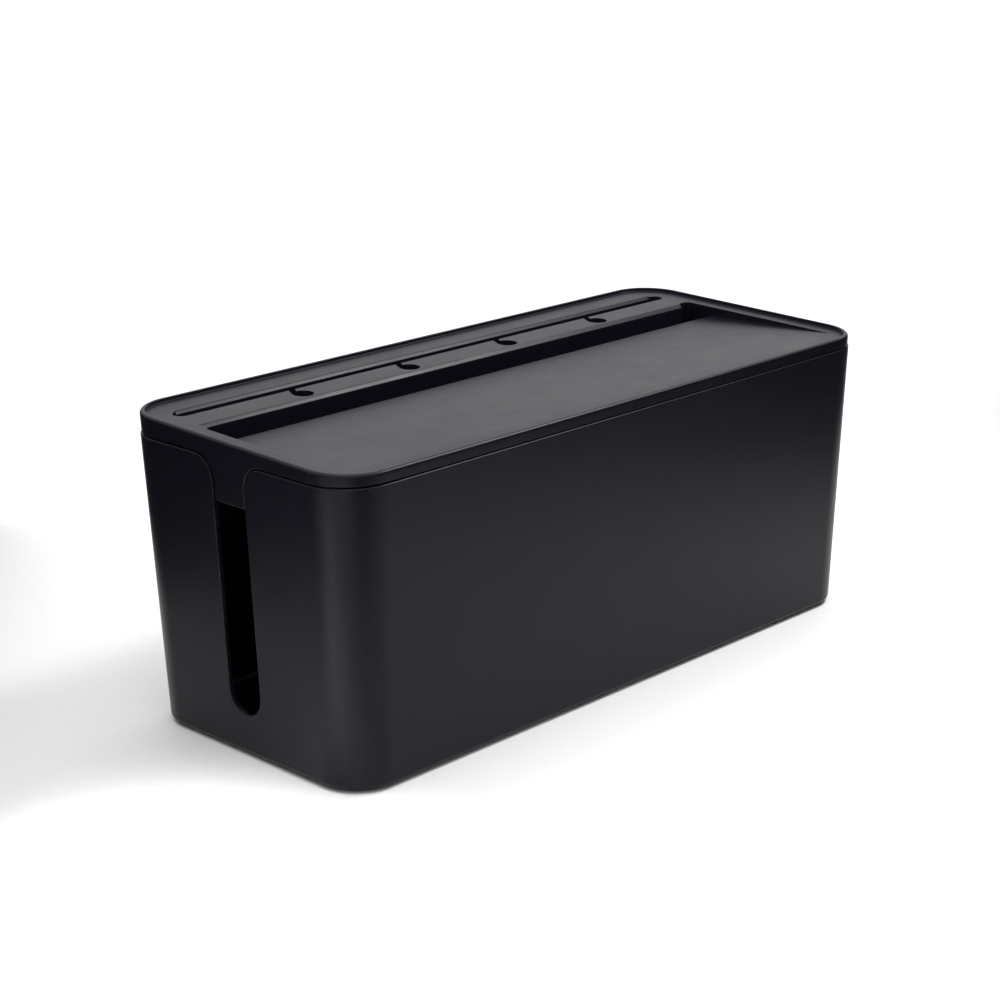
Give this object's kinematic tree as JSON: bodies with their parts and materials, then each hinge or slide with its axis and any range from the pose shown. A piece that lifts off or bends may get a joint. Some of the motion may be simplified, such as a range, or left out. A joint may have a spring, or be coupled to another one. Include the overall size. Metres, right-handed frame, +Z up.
{
  "type": "cable management box",
  "caption": "Lidded cable tray: a tapered plastic tub with an open cable slot in each end, and a lift-off lid with a sloping device rest, a long lead slot and curled lead hooks.",
  "frame": {"origin": "centre of the footprint, on the surface that the feet stand on", "axes": "+X along the tray's length, towards the end beside the lead notch; +Y to the back, the side with the lead slot; +Z up"},
  "size_m": [0.32, 0.134, 0.1323],
  "materials": {
    "tub_plastic": "black moulded plastic, fine satin grain",
    "lid_plastic": "black moulded plastic, fine satin grain, a little glossier than the tub",
    "foot_rubber": "matt black rubber"
  },
  "bodies": {
    "tub": {"tub": "tub_plastic", "foot_front_left": "foot_rubber", "foot_front_right": "foot_rubber", "foot_back_left": "foot_rubber", "foot_back_right": "foot_rubber"},
    "lid": {"lid": "lid_plastic"}
  },
  "joints": [
    {"name": "lid_lift", "type": "slide", "parent": "tub", "child": "lid", "axis": [0, 0, 1], "range_m": [0, 0.06]}
  ]
}
